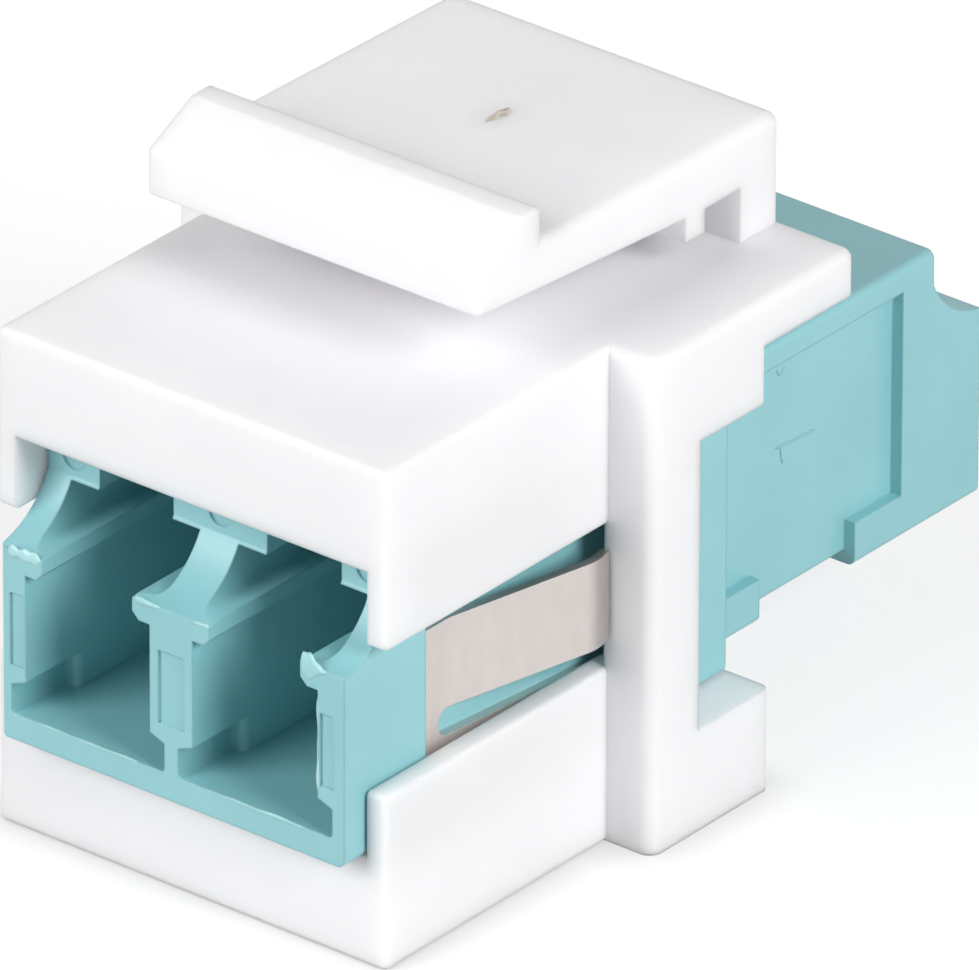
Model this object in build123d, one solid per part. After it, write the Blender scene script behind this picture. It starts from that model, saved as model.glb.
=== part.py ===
from build123d import *
import os

# LC duplex fibre coupler held in a keystone holder. Millimetres, +Z up, ports face -Y and +Y.
# The plane y = 0 is the middle of the adapter, x = 0 its middle, z = 0 the holder's flat bottom.

# Ports
PITCH = 6.25
MIDDLE_T = 1.59        # wall between the two ports
BASE_T = 0.85          # under the port
PORT_H = 4.67
RAIL_W = 0.65          # rail into the port, each side
RAIL_T = 0.72          # upright edge of a rail
RAIL_CUT = 0.25        # chamfer under a rail's edge
RAIL_SLOPE = 0.06      # top of a rail climbs this much towards the neck
CATCH_OUT = 0.08       # neck past the port's side
CATCH_H = 1.44         # neck between rail and bar
NECK_R = 0.25          # between rail and neck
BAR_IN = 1.03          # bar over the port, from the neck
BAR_T = 1.26
BAR_L = 2.4
ROOF_SKIN = 0.35
CATCH_L = 6.5          # depth of the room behind the bars
POCKET_OUT = 0.54      # low pocket at the port's mouth, past the port's side
POCKET_H = 0.95
POCKET_L = 2.35
POCKET_SLOPE = 0.21
POCKET_R = 0.25
POCKET_FOOT_R = 0.15   # along the pocket's lower corners
WALL_HALF = 1.0        # half of the wall between front and rear port

# Adapter body, both halves
WALL_T = 0.985         # outer wall beside a port
HALF_L = 14.8
FLANGE_OUT = 0.96
FLANGE_T = 3.2         # both halves together
FLANGE_UP = 0.1        # over and under the body
FLANGE_R = 0.2
TIP_DOWN = 0.04        # top of the tip under the rails' upper edge
SET_BACK = 2.25        # upper part behind the tip
SWEEP_UP = 1.65        # height of the concave sweep behind the tip
SWEEP_R = 2.85
BODY_R = 0.28

# Holder, outside
FLOOR_T = 3.5          # under the adapter
HOOD_T = 3.35          # over the adapter
LEG_T = 0.7            # beside the adapter
FRONT_L = 10.15        # front face to collar
COLLAR_OUT = 1.7       # past the front, each side
COLLAR_T = 2.15
FOOT_L = 3.35          # behind the collar, under the flange
LINTEL_L = 3.1         # behind the collar, over the flange
ROOF_L = 7.25          # behind the collar, thin roof under the latch root
ROOF_T = 1.45
EDGE_R = 0.2           # outer edges of the front
RIM_R = 0.3            # edges of collar, lintel, roof and foot
CORNER_R = 0.45        # upright corners of collar, roof and tongue

# Holder, window in each side
SILL_UP = 2.2          # sill above the floor that carries the adapter
HEAD_DOWN = 2.4        # leg hanging from the hood
LEG_R = 0.15
ROOM_IN = 0.13         # room for the finger in the collar, narrower than the front, each side

# Latch tongue, moulded with the holder
LATCH_IN = 1.1         # narrower than the front, each side
LATCH_GAP = 1.8        # free height between roof and tongue at the root
LATCH_T = 1.75         # at the root
LATCH_TIP_T = 1.3      # at the ridge
LATCH_RISE = 0.2       # top of the tongue climbs this much towards the ridge
LATCH_L = 14.05
RIDGE_UP = 1.15
RIDGE_L = 2.87
RIDGE_TOP = 0.85
RIDGE_FACE = 1.45      # upright front of the ridge
RIDGE_R = 0.18         # upright edges at the ridge's ends
ROOT_T = 1.95
STOP_T = 0.9
STOP_H = 0.75
STOP_GAP = 1.65        # between root and stop rib
LATCH_R = 0.12
SHOULDER_R = 0.35      # round the top of root and tongue

# Shallow marks that the mould leaves on the end faces
MARK_D = 0.08
PANEL_IN = 0.32        # narrower than the wall between the ports, each side
SIDE_PANEL_IN = 0.08   # from the port's side
SIDE_PANEL_OUT = 0.405 # from the adapter's side
PANEL_H = 2.38
PANEL_UP = 0.41        # above the low pocket's shoulder
MARK_R = 0.43
MARK_UP = 0.75         # middle of the round mark, above the bar's lower edge

# Sleeves and the barrels that hold them
FERRULE_D = 1.25
SLEEVE_T = 0.185
SLEEVE_L = 6.8
SLEEVE_SLOT = 0.3
SLEEVE_GAP = 0.05      # all round and at each end
BARREL_D = 2.9
LIP_L = 0.5
LIP_GAP = 0.1          # narrow end of the lip over the ferrule, all round
LIP_FLARE = 0.2        # the lip opens this much towards its mouth, all round
BARREL_R = 0.2

# Spring clip and its seat in the adapter
CLIP_T = 0.3
SEAT_D = 0.4           # seat in the sides
SEAT_START = 3.7       # behind the adapter's end
SEAT_LOW = 1.45        # above the adapter's bottom
SEAT_TOP = 0.8         # below the adapter's top
WEB_SEAT_D = 0.45      # seat under the bottom
WEB_SEAT_W = 4.5
WEB_Y = 6.65           # middle of the web, from the adapter's middle
POST_W = 0.65
STRIP_H = 0.85         # low strip at the post
STRIP_END_H = 0.25     # low strip at the flange
SLOT_H = 0.9           # slot between strip and finger
FINGER_H = 2.9
FINGER_OUT = 1.19
FINGER_HOOK = 0.15     # the tip turns back in by this much
HOOK_L = 0.7
FINGER_R = 1.5
BEND_R = 0.35

# Clearances between the pieces
SIDE_GAP = 0.11        # adapter in the holder, each side
TOP_GAP = 0.35         # adapter under the hood
FOOT_GAP = 0.05        # flange over the foot
COLLAR_GAP = 0.1       # finger tip to collar
CLIP_GAP = 0.05        # clip's edges to the ends of their seats
PAST = 1.0             # how far a cutter runs past the face it opens
NEAR = 0.001           # two heights closer than this are the same

# Widths that follow from the sizes
PORT_W = PITCH - MIDDLE_T
KEY_W = PORT_W - 2 * RAIL_W
CATCH_W = PORT_W + 2 * CATCH_OUT
BAR_GAP = CATCH_W - 2 * BAR_IN
POCKET_W = PORT_W + 2 * POCKET_OUT
ADAPTER_W = PITCH + PORT_W + 2 * WALL_T
PASS_W = ADAPTER_W + 2 * SIDE_GAP
FRONT_W = PASS_W + 2 * LEG_T
COLLAR_W = FRONT_W + 2 * COLLAR_OUT
ROOM_W = FRONT_W - 2 * ROOM_IN
LATCH_W = FRONT_W - 2 * LATCH_IN
FLANGE_W = ADAPTER_W + 2 * FLANGE_OUT
PANEL_W = MIDDLE_T - 2 * PANEL_IN
SIDE_PANEL_W = WALL_T - SIDE_PANEL_IN - SIDE_PANEL_OUT
SLEEVE_OD = FERRULE_D + 2 * SLEEVE_T
SEAT_X = ADAPTER_W / 2 - SEAT_D

# Heights that follow
PORT_FLOOR = FLOOR_T + BASE_T
AXIS_Z = PORT_FLOOR + PORT_H / 2
RAIL_Z = PORT_FLOOR + PORT_H
NECK_Z = RAIL_Z + RAIL_T + RAIL_SLOPE
BAR_Z = NECK_Z + CATCH_H
ADAPTER_TOP = BAR_Z + BAR_T
ADAPTER_H = ADAPTER_TOP - FLOOR_T
TIP_Z = RAIL_Z + RAIL_T - TIP_DOWN
SLOT_TOP = ADAPTER_TOP - ROOF_SKIN
PASS_TOP = ADAPTER_TOP + TOP_GAP
BODY_H = PASS_TOP + HOOD_T
FOOT_H = FLOOR_T - FLANGE_UP - FOOT_GAP
SILL_Z = FLOOR_T + SILL_UP
HEAD_Z = PASS_TOP - HEAD_DOWN
WEB_TOP = FLOOR_T + WEB_SEAT_D
CLIP_LOW = FLOOR_T + SEAT_LOW + CLIP_GAP
STRIP_TOP = CLIP_LOW + STRIP_H
STRIP_END = CLIP_LOW + STRIP_END_H
FINGER_LOW = STRIP_TOP + SLOT_H
FINGER_TOP = FINGER_LOW + FINGER_H

# Places along the adapter that follow
COLLAR_BACK = -FLANGE_T / 2
COLLAR_FRONT = COLLAR_BACK - COLLAR_T
FRONT_Y = COLLAR_FRONT - FRONT_L
FOOT_BACK = COLLAR_BACK + FOOT_L
LINTEL_BACK = COLLAR_BACK + LINTEL_L
ROOF_BACK = COLLAR_BACK + ROOF_L
POCKET_END = -HALF_L + POCKET_L
CLIP_FRONT = -HALF_L + SEAT_START + CLIP_GAP
CLIP_BACK = COLLAR_BACK - CLIP_GAP
FINGER_TIP = COLLAR_FRONT - COLLAR_GAP


def block(x0, x1, y0, y1, z0, z1):
    """Box between two corners."""
    middle = Pos((x0 + x1) / 2, (y0 + y1) / 2, (z0 + z1) / 2)
    return middle * Box(x1 - x0, y1 - y0, z1 - z0)


def across(face, width):
    """Outline drawn in (y, z), given a width along x, about the middle."""
    return extrude(Plane.YZ * face, width / 2, both=True)


def along(face, y0, y1):
    """Outline drawn in (x, z), run from y0 to y1."""
    return extrude(Plane.XZ.offset(-y1) * face, y1 - y0)


def upright(face, z0, z1):
    """Outline drawn in (x, y), run from z0 to z1."""
    return extrude(Plane.XY.offset(z0) * face, z1 - z0)


def outline(points):
    """Face inside a closed run of straight lines."""
    return make_face(Polyline(*points, close=True))


def mirrored(points):
    """Right half of an outline and its mirror image across x = 0."""
    return points + [(-x, y) for x, y in reversed(points)]


def holder_front():
    """Part that goes into the panel opening, every outer edge rounded."""
    solid = block(-FRONT_W / 2, FRONT_W / 2, FRONT_Y, COLLAR_FRONT + COLLAR_T / 2, 0, BODY_H)
    return fillet(solid.edges(), EDGE_R)


def holder_back():
    """Collar, foot, lintel and roof as one stepped side outline."""
    side = outline([
        (COLLAR_FRONT, 0), (FOOT_BACK, 0), (FOOT_BACK, FOOT_H), (COLLAR_BACK, FOOT_H),
        (COLLAR_BACK, PASS_TOP), (LINTEL_BACK, PASS_TOP), (LINTEL_BACK, BODY_H - ROOF_T),
        (ROOF_BACK, BODY_H - ROOF_T), (ROOF_BACK, BODY_H), (COLLAR_FRONT, BODY_H)])
    plan = Pos(0, (COLLAR_FRONT + ROOF_BACK) / 2) * RectangleRounded(
        COLLAR_W, ROOF_BACK - COLLAR_FRONT, CORNER_R)
    solid = across(side, COLLAR_W) & upright(plan, 0, BODY_H)
    rims = solid.edges().filter_by(Axis.Y).group_by(Axis.Z)[-1]
    uprights = solid.edges().filter_by(Axis.Z)
    foot_rims = uprights.filter_by_position(Axis.Y, FOOT_BACK - RIM_R, FOOT_BACK + RIM_R)
    return fillet(rims + foot_rims, RIM_R)


def latch_outline():
    """Side outline of root, stop rib, tongue and ridge."""
    under = BODY_H + LATCH_GAP
    top = under + LATCH_T
    tip_y = ROOF_BACK - LATCH_L
    high = top + LATCH_RISE
    ridge_y = tip_y + RIDGE_L
    root_y = ROOF_BACK - ROOT_T
    stop_y = root_y - STOP_GAP
    crest = high + RIDGE_UP
    tip_z = high - LATCH_TIP_T
    return outline([
        (ROOF_BACK, BODY_H - ROOF_T / 2), (ROOF_BACK, top), (ridge_y, high), (ridge_y, crest),
        (ridge_y - RIDGE_TOP, crest), (tip_y, tip_z + RIDGE_FACE), (tip_y, tip_z),
        (stop_y - STOP_T, under), (stop_y - STOP_T, under - STOP_H), (stop_y, under - STOP_H),
        (stop_y, under), (root_y, under), (root_y, BODY_H - ROOF_T / 2)])


def latch():
    """Spring tongue with its ridge, rounded at the free corners."""
    solid = across(latch_outline(), LATCH_W)
    rear = solid.edges().filter_by(Axis.Z).group_by(Axis.Y)[-1]
    solid = fillet(rear, CORNER_R)
    front = solid.edges().filter_by(Axis.Z).group_by(Axis.Y)[0]
    solid = fillet(front, RIDGE_R)
    shoulder = solid.edges().filter_by(Axis.X).group_by(Axis.Y)[-1].sort_by(Axis.Z)[-1]
    solid = fillet(shoulder, SHOULDER_R)
    crest = solid.edges().filter_by(Axis.X).group_by(Axis.Z)[-1]
    solid = fillet(crest, LATCH_R)
    tip = solid.edges().filter_by(Axis.X).group_by(Axis.Y)[0]
    return fillet(tip, LATCH_R)


def on_window_rim(edge):
    """True for the outer and front edges of the legs and sills beside the windows."""
    middle = edge.center()
    level = min(abs(middle.Z - SILL_Z), abs(middle.Z - HEAD_Z))
    outside = abs(middle.X) > PASS_W / 2 + LEG_R
    return level < NEAR and outside and middle.Y < COLLAR_FRONT - LEG_R


def keystone_holder():
    """White holder with its latch, one moulding, open through the middle and at the sides."""
    solid = holder_front() + holder_back()
    solid -= block(-PASS_W / 2, PASS_W / 2, FRONT_Y - PAST, COLLAR_BACK, FLOOR_T, PASS_TOP)
    solid -= block(-FRONT_W, FRONT_W, FRONT_Y - PAST, COLLAR_FRONT, SILL_Z, HEAD_Z)
    rims = [edge for edge in solid.edges() if on_window_rim(edge)]
    solid = fillet(rims, LEG_R)
    solid -= block(-ROOM_W / 2, ROOM_W / 2, COLLAR_FRONT, COLLAR_BACK, SILL_Z, HEAD_Z)
    return solid + latch()


def half_outside():
    """Front half of the adapter body before its ports: three outlines cut into each other."""
    end = -HALF_L
    lines = Polyline(
        (end, TIP_Z), (end, FLOOR_T), (0, FLOOR_T), (0, ADAPTER_TOP), (end + SET_BACK, ADAPTER_TOP),
        (end + SET_BACK, TIP_Z + SWEEP_UP))
    sweep = RadiusArc((end + SET_BACK, TIP_Z + SWEEP_UP), (end, TIP_Z), SWEEP_R)
    side = make_face(lines + sweep)
    front = Pos(0, FLOOR_T + ADAPTER_H / 2) * RectangleRounded(ADAPTER_W, ADAPTER_H, BODY_R)
    plan = Pos(0, -HALF_L / 2 + BODY_R) * RectangleRounded(ADAPTER_W, HALF_L + 2 * BODY_R, BODY_R)
    solid = along(front, end, 0) & upright(plan, FLOOR_T, ADAPTER_TOP)
    return solid & across(side, ADAPTER_W)


def port_room(centre):
    """Main room of one port: floor, rails, necks and the gap between the bars."""
    half = [
        (PORT_W / 2, PORT_FLOOR), (PORT_W / 2, RAIL_Z), (KEY_W / 2 + RAIL_CUT, RAIL_Z),
        (KEY_W / 2, RAIL_Z + RAIL_CUT), (KEY_W / 2, RAIL_Z + RAIL_T), (CATCH_W / 2, NECK_Z),
        (CATCH_W / 2, BAR_Z), (BAR_GAP / 2, BAR_Z), (BAR_GAP / 2, SLOT_TOP)]
    face = outline(mirrored(half))
    necks = [corner for corner in face.vertices() if abs(corner.Y - NECK_Z) < NEAR]
    return Pos(centre, 0, 0) * along(fillet(necks, NECK_R), -HALF_L - PAST, -WALL_HALF)


def port_pocket(centre):
    """Wider low pocket at the mouth, with sloping shoulders and a round edge at its end."""
    top = PORT_FLOOR + POCKET_H
    half = [
        (POCKET_W / 2, PORT_FLOOR), (POCKET_W / 2, top), (PORT_W / 2, top + POCKET_SLOPE)]
    mouth = -HALF_L - PAST
    throat = POCKET_END + 2 * POCKET_R
    plan = outline(mirrored([
        (POCKET_W / 2, mouth), (POCKET_W / 2, POCKET_END), (PORT_W / 2, POCKET_END),
        (PORT_W / 2, throat)]))
    steps = plan.vertices().filter_by_position(Axis.X, -PORT_W / 2 - POCKET_R, PORT_W / 2 + POCKET_R)
    plan = fillet(steps.filter_by_position(Axis.Y, mouth, POCKET_END + POCKET_R), POCKET_R)
    face = outline(mirrored(half))
    face = fillet(face.vertices().group_by(Axis.Y)[0], POCKET_FOOT_R)
    pocket = along(face, mouth, throat) & upright(plan, PORT_FLOOR, RAIL_Z)
    return Pos(centre, 0, 0) * pocket


def catch_room(centre):
    """Room behind the bars where the plug's catches rise."""
    start = -HALF_L + SET_BACK + BAR_L
    low = NECK_Z + NECK_R
    return block(centre - CATCH_W / 2, centre + CATCH_W / 2, start, start + CATCH_L, low, SLOT_TOP)


def barrel(centre):
    """Tube that stands in the port and keeps the sleeve."""
    length = SLEEVE_L / 2 + SLEEVE_GAP + LIP_L
    tube = along(Pos(centre, AXIS_Z) * Circle(BARREL_D / 2), -length, -WALL_HALF / 2)
    tip = tube.edges().group_by(Axis.Y)[0]
    return chamfer(tip, BARREL_R)


def sleeve_seat(centre):
    """Bore for half of the sleeve, and in front of it the lip's funnel that leads a ferrule in."""
    inner = SLEEVE_L / 2 + SLEEVE_GAP
    seat = along(Pos(centre, AXIS_Z) * Circle(SLEEVE_OD / 2 + SLEEVE_GAP), -inner, PAST)
    narrow = FERRULE_D / 2 + LIP_GAP
    funnel = Rot(90, 0, 0) * Cone(narrow, narrow + LIP_FLARE, LIP_L)
    return seat + Pos(centre, -inner - LIP_L / 2, AXIS_Z) * funnel


def clip_seat():
    """Shallow seats in sides and bottom that the spring clip lies in."""
    start = -HALF_L + SEAT_START
    low = FLOOR_T + SEAT_LOW
    high = ADAPTER_TOP - SEAT_TOP
    near = -WEB_Y - WEB_SEAT_W / 2
    far = -WEB_Y + WEB_SEAT_W / 2
    seats = block(-ADAPTER_W, ADAPTER_W, near, far, FLOOR_T - PAST, WEB_TOP)
    for side in (-1, 1):
        x0, x1 = sorted((side * SEAT_X, side * ADAPTER_W))
        seats += block(x0, x1, start, 0, low, high)
        seats += block(x0, x1, near, far, FLOOR_T - PAST, low)
    return seats


def flange():
    """Half of the flange around the adapter's middle."""
    height = ADAPTER_H + 2 * FLANGE_UP
    face = Pos(0, FLOOR_T + ADAPTER_H / 2) * RectangleRounded(FLANGE_W, height, FLANGE_R)
    return along(face, -FLANGE_T / 2, 0)


def end_marks():
    """Sunk panels on the walls' end faces and round marks on the bars."""
    panel_end = -HALF_L + MARK_D
    disc_end = panel_end + SET_BACK
    panel_z = PORT_FLOOR + POCKET_H + POCKET_SLOPE + PANEL_UP + PANEL_H / 2
    side_x = PITCH / 2 + PORT_W / 2 + SIDE_PANEL_IN + SIDE_PANEL_W / 2
    bar_x = (PITCH / 2 + BAR_GAP / 2 + ADAPTER_W / 2) / 2
    disc = along(Pos(0, BAR_Z + MARK_UP) * Circle(MARK_R), -HALF_L, disc_end)
    marks = disc + Pos(0, panel_end - PAST / 2, panel_z) * Box(PANEL_W, PAST, PANEL_H)
    for side in (-1, 1):
        marks += Pos(side * side_x, panel_end - PAST / 2, panel_z) * Box(SIDE_PANEL_W, PAST, PANEL_H)
        marks += Pos(side * bar_x, 0, 0) * disc
    return marks


def adapter_front_half():
    """Front half of the two-port adapter body."""
    solid = half_outside() - clip_seat() + flange()
    for centre in (-PITCH / 2, PITCH / 2):
        solid -= port_room(centre)
        solid -= port_pocket(centre)
        solid -= catch_room(centre)
        solid += barrel(centre)
        solid -= sleeve_seat(centre)
    return solid - end_marks()


def clip_band():
    """Web under the adapter and the two uprights that it turns into, one bent sheet."""
    outer_x = SEAT_X + CLIP_T
    low = WEB_TOP - CLIP_T
    outer = outline([(-outer_x, low), (outer_x, low), (outer_x, STRIP_END), (-outer_x, STRIP_END)])
    outer = fillet(outer.vertices().group_by(Axis.Y)[0], BEND_R)
    inner = outline([(-SEAT_X, WEB_TOP), (SEAT_X, WEB_TOP), (SEAT_X, STRIP_END), (-SEAT_X, STRIP_END)])
    half_w = WEB_SEAT_W / 2 - CLIP_GAP
    return along(outer - inner, -WEB_Y - half_w, -WEB_Y + half_w)


def clip_side():
    """Flat side of the clip on the right: low strip, front post and the slot's round end."""
    slot_y = CLIP_FRONT + POST_W + SLOT_H / 2
    strip = outline([
        (CLIP_FRONT, CLIP_LOW), (CLIP_BACK, CLIP_LOW), (CLIP_BACK, STRIP_END),
        (slot_y, STRIP_TOP), (CLIP_FRONT, STRIP_TOP)])
    post = outline([
        (CLIP_FRONT, CLIP_LOW), (slot_y, CLIP_LOW), (slot_y, FINGER_TOP), (CLIP_FRONT, FINGER_TOP)])
    slot = Pos(slot_y, FINGER_LOW - SLOT_H / 2) * Circle(SLOT_H / 2)
    return Pos(SEAT_X + CLIP_T / 2, 0, 0) * across(strip + post - slot, CLIP_T)


def clip_finger():
    """Finger on the right: it leaves the post, leans outwards and hooks in at its tip."""
    root = CLIP_FRONT + POST_W + SLOT_H / 2
    knee = FINGER_TIP - HOOK_L
    inner = [
        (SEAT_X, CLIP_FRONT), (SEAT_X, root), (SEAT_X + FINGER_OUT, knee),
        (SEAT_X + FINGER_OUT - FINGER_HOOK, FINGER_TIP)]
    outer = [(x + CLIP_T, y) for x, y in inner]
    sheet = outline(inner + list(reversed(outer)))
    bends = sheet.vertices().filter_by_position(Axis.Y, CLIP_FRONT + CLIP_GAP, FINGER_TIP - CLIP_GAP)
    return upright(fillet(bends, FINGER_R), FINGER_LOW, FINGER_TOP)


def spring_clip():
    """One folded sheet round the adapter's bottom and sides, with a finger on each side."""
    side = clip_side() + clip_finger()
    return clip_band() + side + mirror(side, about=Plane.YZ)


def alignment_sleeve(centre):
    """Split tube that lines two ferrules up."""
    ring = Circle(SLEEVE_OD / 2) - Circle(FERRULE_D / 2)
    ring -= Pos(0, SLEEVE_OD / 2) * Rectangle(SLEEVE_SLOT, SLEEVE_OD)
    return along(Pos(centre, AXIS_Z) * ring, -SLEEVE_L / 2, SLEEVE_L / 2)


front_half = adapter_front_half()
pieces = {
    "keystone_holder": keystone_holder(),
    "adapter_front_half": front_half,
    "adapter_rear_half": mirror(front_half, about=Plane.XZ),
    "spring_clip": spring_clip(),
    "alignment_sleeve_left": alignment_sleeve(-PITCH / 2),
    "alignment_sleeve_right": alignment_sleeve(PITCH / 2),
}

os.makedirs("parts", exist_ok=True)
for name, solid in pieces.items():
    export_step(solid, f"parts/{name}.step")
    box = solid.bounding_box()
    print(name, len(solid.solids()), round(solid.volume, 2), box.min, box.max)
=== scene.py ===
# %% [markdown]
# A fibre coupler in its keystone holder, dressed for a close-up.
# The solids come from the CAD model and keep their places. What this script adds is what a
# camera sees at arm's length from a part 30 mm long: the way light sits on white and aqua
# plastic, the grain of the spring steel, and the small marks that the moulds leave.

# %% Load the solids
import math
import bmesh
import bpy
import numpy as np
from mathutils import Matrix, Vector


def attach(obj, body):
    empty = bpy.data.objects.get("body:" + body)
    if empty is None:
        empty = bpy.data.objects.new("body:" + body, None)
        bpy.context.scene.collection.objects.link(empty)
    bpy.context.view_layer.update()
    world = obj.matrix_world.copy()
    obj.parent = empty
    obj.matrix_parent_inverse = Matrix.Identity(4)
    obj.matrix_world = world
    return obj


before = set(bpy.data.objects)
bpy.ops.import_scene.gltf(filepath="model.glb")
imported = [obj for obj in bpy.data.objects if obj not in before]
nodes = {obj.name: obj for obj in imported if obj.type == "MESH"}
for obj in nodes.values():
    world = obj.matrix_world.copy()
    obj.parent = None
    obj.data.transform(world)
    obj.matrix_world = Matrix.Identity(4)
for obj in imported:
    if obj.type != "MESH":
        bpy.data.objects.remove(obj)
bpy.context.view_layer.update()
MM = 0.001
print("nodes:", sorted(nodes))

# %% [markdown]
# The camera stands where the photographer's stood: to the right, in front and above.
# Its place was found from the edges of the holder, whose width is known: the turn round
# the part, the height above it, a slight roll, and a long lens from 0.71 m. The long lens
# keeps the edges nearly parallel, as they are in the photograph.

# %% Camera
CAMERA_TURN = 38.81        # degrees round from the front, towards +X
CAMERA_HEIGHT = 28.07      # degrees above the floor
CAMERA_ROLL = 0.201
CAMERA_DISTANCE = 710.43 * MM
FOCAL_PIXELS = 24435       # focal length, counted in pixels of the picture
IMAGE_WIDTH = 979
SENSOR = 36.0              # mm
LOOK_AT = (0, -3.9 * MM, 8 * MM)
LOOK_RIGHT = 2.32 * MM     # from that point to the middle of the picture
LOOK_UP = 1.182 * MM

turn, height, roll = (math.radians(a) for a in (CAMERA_TURN, CAMERA_HEIGHT, CAMERA_ROLL))
back = Vector((math.sin(turn) * math.cos(height), -math.cos(turn) * math.cos(height),
               math.sin(height)))
level = Vector((math.cos(turn), math.sin(turn), 0))
over = back.cross(level)
right = level * math.cos(roll) + over * math.sin(roll)
up = over * math.cos(roll) - level * math.sin(roll)
target = Vector(LOOK_AT) + right * LOOK_RIGHT + up * LOOK_UP

camera_data = bpy.data.cameras.new("camera")
camera_data.sensor_width = SENSOR
camera_data.lens = FOCAL_PIXELS * SENSOR / IMAGE_WIDTH
camera_data.clip_start = 0.01
camera_data.clip_end = 10
camera = bpy.data.objects.new("camera", camera_data)
camera.matrix_world = Matrix((
    (right.x, up.x, back.x, 0), (right.y, up.y, back.y, 0), (right.z, up.z, back.z, 0),
    (0, 0, 0, 1)))
camera.location = target + back * CAMERA_DISTANCE
bpy.context.scene.collection.objects.link(camera)
bpy.context.scene.camera = camera
print("camera at", [round(v, 4) for v in camera.location], "lens", round(camera_data.lens, 1))

# %% [markdown]
# Helpers for node materials. Each colour is written as it would be picked from a screen,
# 0 to 255, and turned into the linear values that the renderer works with.

# %% Colour and node helpers
def linear(red, green, blue):
    """Screen colour from 0 to 255 to linear: below 0.04045 divide by 12.92, else the 2.4 power."""
    screen = np.array([red, green, blue]) / 255
    light = np.where(screen <= 0.04045, screen / 12.92, ((screen + 0.055) / 1.055) ** 2.4)
    return (*[float(v) for v in light], 1.0)


class Wiring:
    """A new material and short calls that add nodes to it and join them."""

    def __init__(self, name):
        self.material = bpy.data.materials.new(name)
        self.material.use_nodes = True
        self.tree = self.material.node_tree
        self.tree.nodes.clear()

    def add(self, kind, values=None, **settings):
        node = self.tree.nodes.new(kind)
        for key, value in settings.items():
            setattr(node, key, value)
        for key, value in (values or {}).items():
            node.inputs[key].default_value = value
        return node

    def join(self, output, socket):
        self.tree.links.new(output, socket)

    def math(self, operation, first, second=0.0):
        node = self.add("ShaderNodeMath", operation=operation)
        for socket, value in zip(node.inputs, (first, second)):
            if isinstance(value, (int, float)):
                socket.default_value = value
            else:
                self.join(value, socket)
        return node.outputs[0]

    def mix(self, share, first, second):
        """Colour that goes from first to second as share goes from 0 to 1."""
        node = self.add("ShaderNodeMix", data_type="RGBA")
        sockets = {"Factor": share, "A": first, "B": second}
        for socket in node.inputs:
            if socket.enabled and socket.name in sockets:
                value = sockets[socket.name]
                if isinstance(value, (int, float, tuple)):
                    socket.default_value = value
                else:
                    self.join(value, socket)
        return [s for s in node.outputs if s.enabled][0]

    def ramp(self, value, low, high):
        """0 below low, 1 above high, smooth between them."""
        node = self.add("ShaderNodeMapRange", {"From Min": low, "From Max": high},
                        interpolation_type="SMOOTHSTEP")
        self.join(value, node.inputs["Value"])
        return node.outputs["Result"]


def place(w, stretch=(1, 1, 1), middle=(0, 0, 0)):
    """Object coordinates measured from middle and multiplied by stretch."""
    where = w.add("ShaderNodeTexCoord")
    move = w.add("ShaderNodeMapping", {"Scale": stretch,
                 "Location": tuple(-m * s for m, s in zip(middle, stretch))})
    w.join(where.outputs["Object"], move.inputs["Vector"])
    return move.outputs["Vector"]


def noise(w, spot, scale, detail=3.0, roughness=0.5):
    """Cloudy pattern from 0 to 1 with blots about 1 / scale metres apart."""
    node = w.add("ShaderNodeTexNoise", {"Scale": scale, "Detail": detail, "Roughness": roughness})
    w.join(spot, node.inputs["Vector"])
    return node.outputs["Fac"]


def soft_edges(w, radius):
    """Normal that turns smoothly over sharp edges, as their small real rounding does."""
    return w.add("ShaderNodeBevel", {"Radius": radius}, samples=3).outputs["Normal"]


def bumped(w, pattern, normal, strength, depth):
    """The normal, disturbed by a pattern that stands for grooves of this depth."""
    node = w.add("ShaderNodeBump", {"Strength": strength, "Distance": depth})
    w.join(pattern, node.inputs["Height"])
    w.join(normal, node.inputs["Normal"])
    return node.outputs["Normal"]


def edge_share(w, rounded):
    """0 on flat faces and up to 1 at edges: how far the rounded normal leaves the true one."""
    true = w.add("ShaderNodeNewGeometry").outputs["True Normal"]
    dot = w.add("ShaderNodeVectorMath", operation="DOT_PRODUCT")
    w.join(rounded, dot.inputs[0])
    w.join(true, dot.inputs[1])
    return w.ramp(w.math("SUBTRACT", 1.0, dot.outputs["Value"]), 0.02, 0.25)


def finished(w, shader):
    """Joins the shader to the material's output and hands back the material."""
    output = w.add("ShaderNodeOutputMaterial")
    w.join(shader.outputs[0], output.inputs["Surface"])
    print("material", w.material.name, "with", len(w.tree.nodes), "nodes")
    return w.material


def wear(name, material):
    """Gives a CAD node this material."""
    for slot in nodes[name].material_slots:
        slot.material = material

# %% [markdown]
# The holder is white ABS-like plastic with a satin skin. It could be one pale colour, but
# the real one shows very faint clouds where the melt flowed, a fine grain from the mould,
# and light that goes a little way in and comes out again. A brown spot marks the place on
# the tongue where the plastic was let into the mould.

# %% White plastic of the holder
GATE = (0.03 * MM, 0.1 * MM, 19.8 * MM)    # where the plastic entered, on the tongue's top
HAZE_REACH = (1.1 * MM, 1.6 * MM, 3 * MM)  # half sizes of the brown haze round it
HAZE_SHARE = 0.1
WHITE_ROUND = 0.12 * MM


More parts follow.
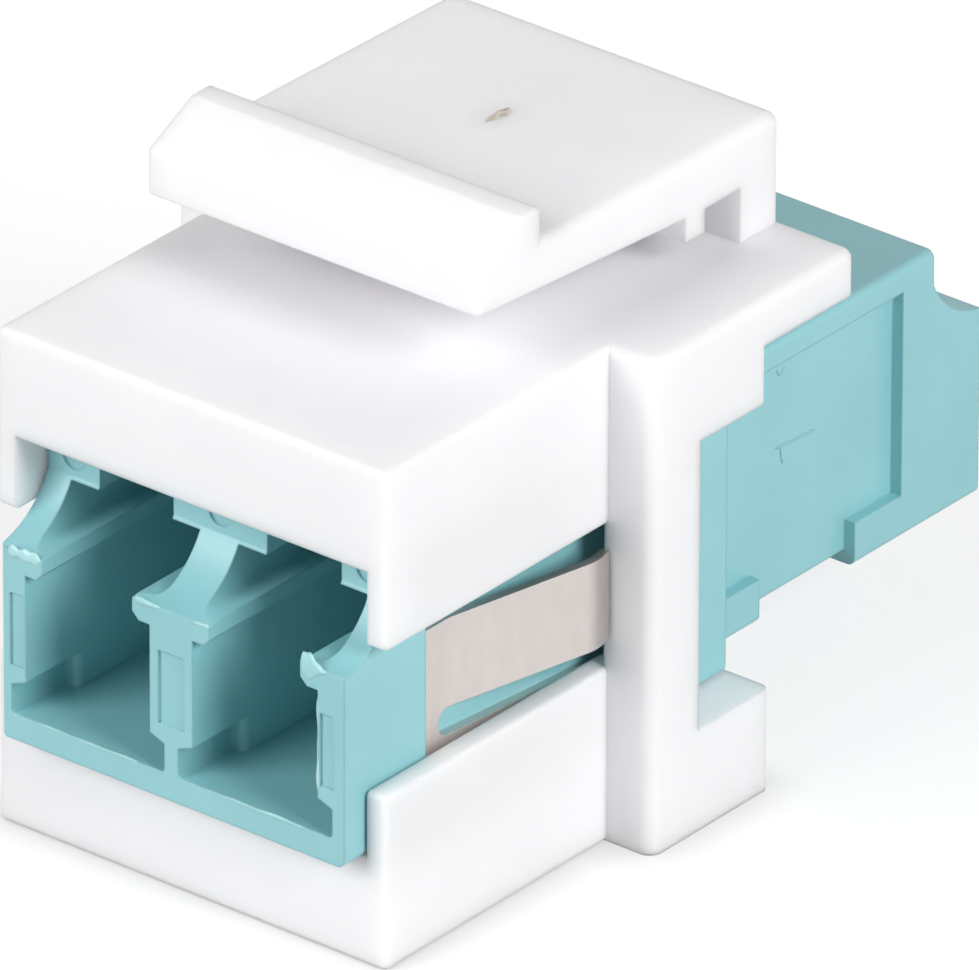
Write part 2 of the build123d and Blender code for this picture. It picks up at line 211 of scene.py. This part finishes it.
def white_plastic():
    """White with very faint clouds, a brown haze round the gate, and light that goes in."""
    w = Wiring("holder_white")
    clouds = noise(w, place(w), 260, 2.0)
    tone = w.mix(w.ramp(clouds, 0.35, 0.65), linear(240, 239, 241), linear(242, 241, 243))
    near_gate = w.add("ShaderNodeVectorMath", operation="LENGTH")
    w.join(place(w, tuple(1 / reach for reach in HAZE_REACH), GATE), near_gate.inputs[0])
    outside = w.ramp(near_gate.outputs["Value"], 0.1, 1.0)
    haze = w.math("MULTIPLY", w.math("SUBTRACT", 1.0, outside), HAZE_SHARE)
    tone = w.mix(haze, tone, linear(205, 190, 170))
    rounded = soft_edges(w, WHITE_ROUND)
    grain = noise(w, place(w), 9000, 2.0)
    normal = bumped(w, grain, rounded, 0.08, 0.01 * MM)
    shader = w.add("ShaderNodeBsdfPrincipled", {
        "Roughness": 0.5, "Specular IOR Level": 0.25, "Subsurface Weight": 0.7,
        "Subsurface Radius": (1.0, 0.95, 0.95), "Subsurface Scale": 1.4 * MM})
    w.join(tone, shader.inputs["Base Color"])
    w.join(normal, shader.inputs["Normal"])
    return finished(w, shader)


holder_white = white_plastic()
wear("keystone_holder", holder_white)

# %% [markdown]
# The adapter is aqua plastic, the colour that the trade keeps for fast multimode fibre.
# Its edges are painted paler than its faces: a painted highlight for the light that each small
# rounded edge catches from two sides. The shader finds the edges by comparing the true normal with
# a rounded one.

# %% Aqua plastic of the adapter
AQUA_ROUND = 0.1 * MM
EDGE_HIGHLIGHT_SHARE = 0.35       # how much of the painted highlight, a paler tone, the edges take


def aqua_plastic(name, dark, light, painted_edge_highlight):
    """Aqua with faint clouds between two tones, and a painted highlight, a paler tone, where edges
    are rounded.
    """
    w = Wiring(name)
    clouds = noise(w, place(w), 320, 3.0)
    tone = w.mix(w.ramp(clouds, 0.3, 0.7), dark, light)
    rounded = soft_edges(w, AQUA_ROUND)
    # painted highlight: the rounded edges take a paler tone
    tone = w.mix(w.math("MULTIPLY", edge_share(w, rounded), EDGE_HIGHLIGHT_SHARE), tone, painted_edge_highlight)
    grain = noise(w, place(w), 7000, 3.0)
    normal = bumped(w, grain, rounded, 0.1, 0.01 * MM)
    shader = w.add("ShaderNodeBsdfPrincipled", {
        "Roughness": 0.42, "Specular IOR Level": 0.9, "Subsurface Weight": 0.08,
        "Subsurface Radius": (0.6, 1.0, 1.0), "Subsurface Scale": 0.2 * MM})
    w.join(tone, shader.inputs["Base Color"])
    w.join(normal, shader.inputs["Normal"])
    return finished(w, shader)


adapter_aqua = aqua_plastic(
    "adapter_aqua", linear(136, 194, 200), linear(140, 198, 204), linear(180, 228, 230))
wear("adapter_front_half", adapter_aqua)
wear("adapter_rear_half", adapter_aqua)

# %% [markdown]
# The clip is cut and folded from bright spring strip. Rolling leaves fine lines in it, and
# a soft mottle over them. The lines run up and down on the finger, so the noise is
# stretched along Z, and they go into both the bump and the roughness.

# %% Spring steel of the clip
STEEL_ROUND = 0.05 * MM


def spring_steel():
    """Bright metal whose fine lines and soft mottle are drawn out along Z."""
    w = Wiring("clip_steel_satin")
    lines = noise(w, place(w, (1, 1, 0.06)), 14000, 3.0, 0.6)
    mottle = noise(w, place(w, (1, 1, 0.5)), 2200, 3.0)
    tone = w.mix(mottle, linear(205, 198, 194), linear(217, 210, 207))
    rough = w.math("ADD", w.math("MULTIPLY", lines, 0.16), 0.3)
    normal = bumped(w, lines, soft_edges(w, STEEL_ROUND), 0.18, 0.004 * MM)
    shader = w.add("ShaderNodeBsdfPrincipled", {"Metallic": 1.0})
    w.join(tone, shader.inputs["Base Color"])
    w.join(rough, shader.inputs["Roughness"])
    w.join(normal, shader.inputs["Normal"])
    return finished(w, shader)


clip_steel = spring_steel()
wear("spring_clip", clip_steel)

# %% [markdown]
# The two split sleeves deep in the ports are zirconia, a dense white ceramic, ground smooth.

# %% Ceramic of the sleeves
CERAMIC_ROUND = 0.03 * MM


def zirconia():
    """Smooth pale ceramic with a high index of refraction and faint lines from grinding."""
    w = Wiring("sleeve_zirconia")
    tone = w.mix(noise(w, place(w), 1500, 2.0), linear(236, 234, 226), linear(243, 242, 236))
    lines = noise(w, place(w, (1, 0.05, 1)), 20000)
    normal = bumped(w, lines, soft_edges(w, CERAMIC_ROUND), 0.05, 0.002 * MM)
    shader = w.add("ShaderNodeBsdfPrincipled", {"Roughness": 0.18, "IOR": 2.1})
    w.join(tone, shader.inputs["Base Color"])
    w.join(normal, shader.inputs["Normal"])
    return finished(w, shader)


sleeve_ceramic = zirconia()
for side in ("left", "right"):
    wear(f"alignment_sleeve_{side}", sleeve_ceramic)

# %% [markdown]
# Now the small things that make a moulded part look real. Where the two halves of a mould
# meet, a little plastic creeps out and stays as a thin pale fin, called flash. It could be
# carved from the solid, but it is far thinner than any size in the model, so each fin is a
# closed bead: a flat oval carried along the edge that it grew on, with a height and a
# thickness that vary on the way.

# %% Bead along a path
RING = 12                  # points round the oval


def new_piece(name, points, faces, material, slot):
    """Mesh object at the origin whose faces all point outwards, shaded smooth."""
    mesh = bpy.data.meshes.new(name)
    mesh.from_pydata([tuple(p) for p in points.tolist()], [], faces)
    shell = bmesh.new()
    shell.from_mesh(mesh)
    bmesh.ops.recalc_face_normals(shell, faces=shell.faces)
    shell.to_mesh(mesh)
    shell.free()
    mesh.polygons.foreach_set("use_smooth", np.ones(len(mesh.polygons), dtype=bool))
    mesh.materials.append(material)
    made = bpy.data.objects.new(name, mesh)
    bpy.context.scene.collection.objects.link(made)
    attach(made, "root")
    print(name, "has", len(mesh.polygons), "faces")


def bead(name, path, out, up, half, rise, material, slot):
    """Closed bead along a path, sizes in mm.

    Point k of ring i is path[i] + out * half[i] * cos(a) + up * rise[i] * sin(a), where a
    goes once round in RING steps. The first and the last ring are closed by flat caps.
    """
    path = np.asarray(path, dtype=float)
    turn_angle = np.arange(RING) * 2 * np.pi / RING
    sideways = (half[:, None] * np.cos(turn_angle))[..., None] * np.asarray(out, dtype=float)
    upwards = (rise[:, None] * np.sin(turn_angle))[..., None] * np.asarray(up, dtype=float)
    points = ((path[:, None, :] + sideways + upwards) * MM).reshape(-1, 3)
    ring, spot = np.meshgrid(np.arange(len(path) - 1), np.arange(RING), indexing="ij")
    beside = (spot + 1) % RING
    quads = np.stack([ring * RING + spot, ring * RING + beside,
                      (ring + 1) * RING + beside, (ring + 1) * RING + spot], axis=-1)
    last = (len(path) - 1) * RING
    caps = [list(range(RING))[::-1], list(range(last, last + RING))]
    new_piece(name, points, quads.reshape(-1, 4).tolist() + caps, material, slot)


def wander(seed, count, knots):
    """Smooth random numbers from 0 to 1: values at evenly spaced knots, joined by cosine arcs."""
    values = np.random.default_rng(seed).random(knots)
    place_on = np.linspace(0, knots - 1.0001, count)
    before = place_on.astype(int)
    share = (1 - np.cos(np.pi * (place_on - before))) / 2
    return values[before] * (1 - share) + values[before + 1] * share


def fade(count, share):
    """0 at both ends and 1 in the middle, rising over this share of the length as a sine."""
    along_it = np.linspace(0, 1, count)
    near_end = np.minimum(along_it, 1 - along_it) / share
    return np.sin(np.pi / 2 * np.clip(near_end, 0.02, 1))

# %% [markdown]
# The fins sit on the tips of the port walls, where the moulds for front and top met. The
# one on the right wall is the largest: a flap that stands up and falls away outwards. On
# the left wall it is a row of crumbs, and on the middle wall a low lip at each corner.
# Thinner fins run down the right wall's inner edge and along the front edge of each port's
# floor. The lines lie a hair inside the plastic, so that no fin hangs in the air. Only the
# flap on the right wall begins 0.025 mm past the wall's edge, as flash often does.

# %% Flash on the tips and edges of the ports
END_Y = -14.78             # just inside the front end faces
TIP_Z = 9.68               # just under the tops of the walls' tips
FLOOR_Z = 4.34             # just under the floors of the ports
INNER_X = 5.46             # just inside the right wall's inner face
UP, LEFT = (0, 1), (-1, 0)
STEPS = 60

flash_pale = aqua_plastic(
    "flash_pale", linear(152, 206, 210), linear(172, 218, 221), linear(196, 232, 234))


def fin(name, start, end, grow, heights, thickness, seed):
    """Fin on the front end face, from start to end, standing towards grow, all as (x, z).

    The line is start * (1 - s) + end * s. Heights are given at evenly spaced places on it,
    and random waves of up to a fifth are laid over them. The thickness wavers by up to three
    tenths, and the line by up to 0.015 mm in and out of the face.
    """
    share = np.linspace(0, 1, STEPS)[:, None]
    flat = np.asarray(start) * (1 - share) + np.asarray(end) * share
    out_of_face = END_Y + 0.03 * (wander(seed + 1, STEPS, 5) - 0.5)
    line = np.stack([flat[:, 0], out_of_face, flat[:, 1]], axis=1)
    profile = np.interp(share[:, 0], np.linspace(0, 1, len(heights)), heights)
    ends = fade(STEPS, 0.12)
    rise = profile * (0.8 + 0.4 * wander(seed, STEPS, 6)) * ends
    half = thickness * (0.7 + 0.6 * wander(seed + 2, STEPS, 5)) * ends
    bead(name, line, (0, 1, 0), (grow[0], 0, grow[1]), half, rise, flash_pale, "adapter_plastic")


fin("flash_right_wall", (4.78, TIP_Z), (5.78, TIP_Z), UP,
    [0.3, 0.42, 0.4, 0.38, 0.25, 0.1, 0.04], 0.07, 4)
fin("flash_left_wall", (-6.15, TIP_Z), (-4.86, TIP_Z), UP,
    [0.12, 0.2, 0.12, 0.22, 0.16, 0.2, 0.1], 0.07, 8)
fin("flash_middle_wall", (-1.42, TIP_Z), (-0.35, TIP_Z), UP,
    [0.08, 0.14, 0.09, 0.05], 0.05, 15)
fin("flash_middle_wall_right", (0.8, TIP_Z), (1.43, TIP_Z), UP,
    [0.03, 0.06, 0.08], 0.05, 21)
fin("flash_right_edge", (INNER_X, 8.9), (INNER_X, 5.62), LEFT,
    [0.05, 0.07, 0.03, 0.06, 0.04, 0.08, 0.03], 0.03, 41)
fin("flash_left_floor", (-5.2, FLOOR_Z), (-1.0, FLOOR_Z), UP,
    [0.03, 0.05, 0.02, 0.04, 0.03, 0.06, 0.03], 0.04, 31)
fin("flash_right_floor", (1.0, FLOOR_Z), (5.2, FLOOR_Z), UP,
    [0.03, 0.02, 0.05, 0.03, 0.08, 0.04, 0.05], 0.04, 36)

# %% [markdown]
# Two marks stand on the flat seat at the rear: a long tick with a short foot, and a small
# hooked one above it. The moulder's tool left them. They are ridges a few hundredths of a
# millimetre high, so the same bead draws them, lying on the wall.

# %% Mould ticks on the rear seat
SEAT_X = 6.04              # the flat seat's face
TICK_HALF = 0.05
TICK_RISE = 0.03
TICK_STEPS = 24


def tick(name, corners):
    """Fine ridge on the rear seat through corners given as (y, z), evenly stepped."""
    corners = np.asarray(corners, dtype=float)
    leg = np.concatenate([[0], np.cumsum(np.hypot(*np.diff(corners, axis=0).T))])
    steps = np.linspace(0, leg[-1], TICK_STEPS)
    y, z = (np.interp(steps, leg, corners[:, i]) for i in range(2))
    line = np.stack([np.full(TICK_STEPS, SEAT_X), y, z], axis=1)
    ends = fade(TICK_STEPS, 0.1)
    bead(name, line, (0, 0, 1), (1, 0, 0), TICK_HALF * ends, TICK_RISE * ends,
         adapter_aqua, "adapter_plastic")


tick("tick_long", [(5.57, 8.65), (7.48, 8.53)])
tick("tick_foot", [(5.8, 8.6), (5.88, 8.1), (6.02, 8.08)])
tick("tick_hook", [(5.6, 11.26), (5.69, 11.06), (5.82, 11.02), (6.0, 11.22)])

# %% [markdown]
# On top of the tongue is the gate, the place where the melt came in. It was snapped off and
# left a low scar, tan from the heat. A lens of two parameters makes it: how far out from
# the middle, and which way round.

# %% Gate scar on the tongue
TONGUE_ROOT = (5.65, 19.75)    # (y, z) where the tongue's top starts to climb
TONGUE_CLIMB = 0.2             # from there to the ridge
TONGUE_RUN = 11.18
SCAR_MIDDLE = (0.05, 0.15)     # (x, y)
SCAR_HALF = (0.19, 0.6)
SCAR_RISE = 0.025
SCAR_SUNK = 0.004              # its rim lies this far under the tongue's top


def tongue_top(y):
    """Height of the tongue's top in mm: it climbs evenly towards the ridge."""
    return TONGUE_ROOT[1] + TONGUE_CLIMB * (TONGUE_ROOT[0] - y) / TONGUE_RUN


def gate_scar():
    """Lens: radius share r and angle a, height falls as 1 - r squared, the rim wanders.

    Two crossed sines roughen the top, and fade towards the rim as 1 - r to the fourth.
    """
    rings, points_round = 10, 40
    r = np.linspace(1 / rings, 1, rings)[:, None]
    a = np.linspace(0, 2 * np.pi, points_round, endpoint=False)[None, :]
    rim = 1 + 0.12 * np.sin(3 * a + 0.6) + 0.08 * np.sin(7 * a)
    x = SCAR_MIDDLE[0] + SCAR_HALF[0] * r * rim * np.cos(a)
    y = SCAR_MIDDLE[1] + SCAR_HALF[1] * r * rim * np.sin(a)
    rough = 0.006 * np.sin(40 * x + 3) * np.sin(17 * y)
    z = tongue_top(y) + SCAR_RISE * (1 - r ** 2) + rough * (1 - r ** 4) - SCAR_SUNK
    grid = np.stack([x, y, z], axis=-1).reshape(-1, 3)
    middle = [[*SCAR_MIDDLE, tongue_top(SCAR_MIDDLE[1]) + SCAR_RISE - SCAR_SUNK]]
    points = np.concatenate([grid, middle]) * MM
    i, k = np.meshgrid(np.arange(rings - 1), np.arange(points_round), indexing="ij")
    beside = (k + 1) % points_round
    quads = np.stack([i * points_round + k, i * points_round + beside,
                      (i + 1) * points_round + beside, (i + 1) * points_round + k], axis=-1)
    k = np.arange(points_round)
    top = np.stack([np.full(points_round, len(grid)), k, (k + 1) % points_round], axis=-1)
    last = (rings - 1) * points_round
    underside = [list(range(last, last + points_round))]
    return points, quads.reshape(-1, 4).tolist() + top.tolist() + underside


def scorched_plastic():
    """Plastic in two tans that blot into each other, as heat leaves it."""
    w = Wiring("gate_tan")
    spots = w.ramp(noise(w, place(w, (1, 0.5, 1)), 6500, 3.0), 0.42, 0.62)
    tone = w.mix(spots, linear(216, 208, 196), linear(182, 163, 136))
    shader = w.add("ShaderNodeBsdfPrincipled", {"Roughness": 0.5, "Subsurface Weight": 0.2,
                   "Subsurface Scale": 0.2 * MM})
    w.join(tone, shader.inputs["Base Color"])
    return finished(w, shader)


new_piece("gate_scar", *gate_scar(), scorched_plastic(), "holder_plastic")

# %% [markdown]
# The studio is plain: a white floor, a white world, and two soft lamps. The floor looks
# white to the camera and in the metal, and still takes the part's shadow. Its glow fades
# where the part stands close over it, which paints a thin dark line of painted contact shadow.

# %% Floor and world
FLOOR_HALF = 1.5               # metres
FLOOR_LIT = (0.62, 0.62, 0.62, 1)    # colour for the light that goes on to the part
FLOOR_SEEN = (0.38, 0.38, 0.38, 1)   # colour for camera and mirrors, which see the glow too
PAINTED_SHADOW_REACH = 1.6 * MM
GLOW_IN_PAINTED_SHADOW = 0.23            # glow in the painted contact shadow, where the part stands right over the floor
GLOW_MORE = 0.45               # added where nothing is near
floor_mesh = bpy.data.meshes.new("floor")
around = ((-1, -1), (1, -1), (1, 1), (-1, 1))
floor_mesh.from_pydata([(x * FLOOR_HALF, y * FLOOR_HALF, 0) for x, y in around], [],
                       [(0, 1, 2, 3)])
floor = bpy.data.objects.new("floor", floor_mesh)
bpy.context.scene.collection.objects.link(floor)


def floor_finish():
    """Matt white that takes shadows, with a little glow that only camera and mirrors see, and a
    painted contact shadow where that glow fades near the part.
    """
    w = Wiring("floor_white")
    matt = w.add("ShaderNodeBsdfDiffuse")
    rays = w.add("ShaderNodeLightPath")
    seen = w.math("MAXIMUM", rays.outputs["Is Camera Ray"], rays.outputs["Is Glossy Ray"])
    seen = w.math("MAXIMUM", seen, rays.outputs["Is Transmission Ray"])
    w.join(w.mix(seen, FLOOR_LIT, FLOOR_SEEN), matt.inputs["Color"])
    # painted contact shadow: the glow fades where the part stands close over the floor
    painted_contact_shadow = w.add("ShaderNodeAmbientOcclusion", {"Distance": PAINTED_SHADOW_REACH}, samples=4)
    level = w.math("ADD", w.math("MULTIPLY", painted_contact_shadow.outputs["AO"], GLOW_MORE), GLOW_IN_PAINTED_SHADOW)
    glow = w.add("ShaderNodeEmission")
    w.join(w.math("MULTIPLY", seen, level), glow.inputs["Strength"])
    both = w.add("ShaderNodeAddShader")
    w.join(matt.outputs[0], both.inputs[0])
    w.join(glow.outputs[0], both.inputs[1])
    return finished(w, both)


floor_mesh.materials.append(floor_finish())

WORLD_LIGHT = 0.2              # on the part; the camera and mirrors see 1
world = bpy.data.worlds.new("studio")
world.use_nodes = True
bpy.context.scene.world = world
tree = world.node_tree
tree.nodes.clear()
rays = tree.nodes.new("ShaderNodeLightPath")
seen = tree.nodes.new("ShaderNodeMath")
seen.operation = "MAXIMUM"
tree.links.new(rays.outputs["Is Camera Ray"], seen.inputs[0])
tree.links.new(rays.outputs["Is Glossy Ray"], seen.inputs[1])
level_of = tree.nodes.new("ShaderNodeMapRange")
level_of.inputs["To Min"].default_value = WORLD_LIGHT
level_of.inputs["To Max"].default_value = 1.0
tree.links.new(seen.outputs[0], level_of.inputs["Value"])
sky = tree.nodes.new("ShaderNodeBackground")
tree.links.new(level_of.outputs["Result"], sky.inputs["Strength"])
sky.inputs["Color"].default_value = (1, 1, 1, 1)
out = tree.nodes.new("ShaderNodeOutputWorld")
tree.links.new(sky.outputs[0], out.inputs["Surface"])
print("world light", WORLD_LIGHT)

# %% [markdown]
# Each lamp is a large square more than a metre away, so its light is even over the floor
# and its shadows have no hard edge. One stands in front on the left and lights the ports,
# the other on the right lights the long side. Both stand low, which keeps the tops a shade
# darker than the sides.

# %% Lamps
LAMP_DISTANCE = 1.2            # metres
PART_MIDDLE = Vector((0, 0, 0.01))


def lamp(name, turn_degrees, height_degrees, size, power):
    """Square area lamp on a sphere round the part, aimed at the part's middle."""
    a, e = math.radians(turn_degrees), math.radians(height_degrees)
    out_of = Vector((math.sin(a) * math.cos(e), -math.cos(a) * math.cos(e), math.sin(e)))
    data = bpy.data.lights.new(name, "AREA")
    data.shape = "SQUARE"
    data.size = size
    data.energy = power
    made = bpy.data.objects.new(name, data)
    made.location = PART_MIDDLE + out_of * LAMP_DISTANCE
    made.rotation_mode = "QUATERNION"
    made.rotation_quaternion = out_of.to_track_quat("Z", "Y")
    bpy.context.scene.collection.objects.link(made)
    print("lamp", name, "of", power, "W")


lamp("front_lamp", -22, 28, 0.7, 10.6)
lamp("right_lamp", 83, 30, 0.5, 11.6)

bpy.context.scene.view_settings.view_transform = "Standard"
